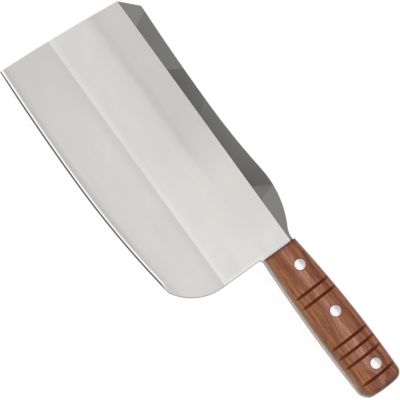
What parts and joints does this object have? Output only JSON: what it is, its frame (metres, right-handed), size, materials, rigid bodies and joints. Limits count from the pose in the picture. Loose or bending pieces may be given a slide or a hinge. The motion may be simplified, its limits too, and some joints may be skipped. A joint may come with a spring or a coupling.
{
  "type": "chinese cleaver",
  "caption": "Broad rectangular kitchen knife with a full tang, ground spine bevel and a grooved, riveted wooden handle.",
  "frame": {"origin": "on the surface that the handle lies on, under the middle of the knife's length and width", "axes": "+X from the front of the blade to the butt of the handle, along the blade's ridge line; +Y from the cutting edge to the spine; +Z square to the blade"},
  "size_m": [0.3322, 0.112, 0.0215],
  "materials": {
    "blade_steel": "satin ground faces, polished spine bevel",
    "handle_wood": "smooth oiled red-brown hardwood",
    "rivet_steel": "polished"
  },
  "bodies": {
    "root": {"blade": "blade_steel", "left_scale": "handle_wood", "right_scale": "handle_wood", "rivet_socket_front": "rivet_steel", "rivet_socket_middle": "rivet_steel", "rivet_socket_rear": "rivet_steel", "rivet_pin_front": "rivet_steel", "rivet_pin_middle": "rivet_steel", "rivet_pin_rear": "rivet_steel"}
  },
  "joints": []
}
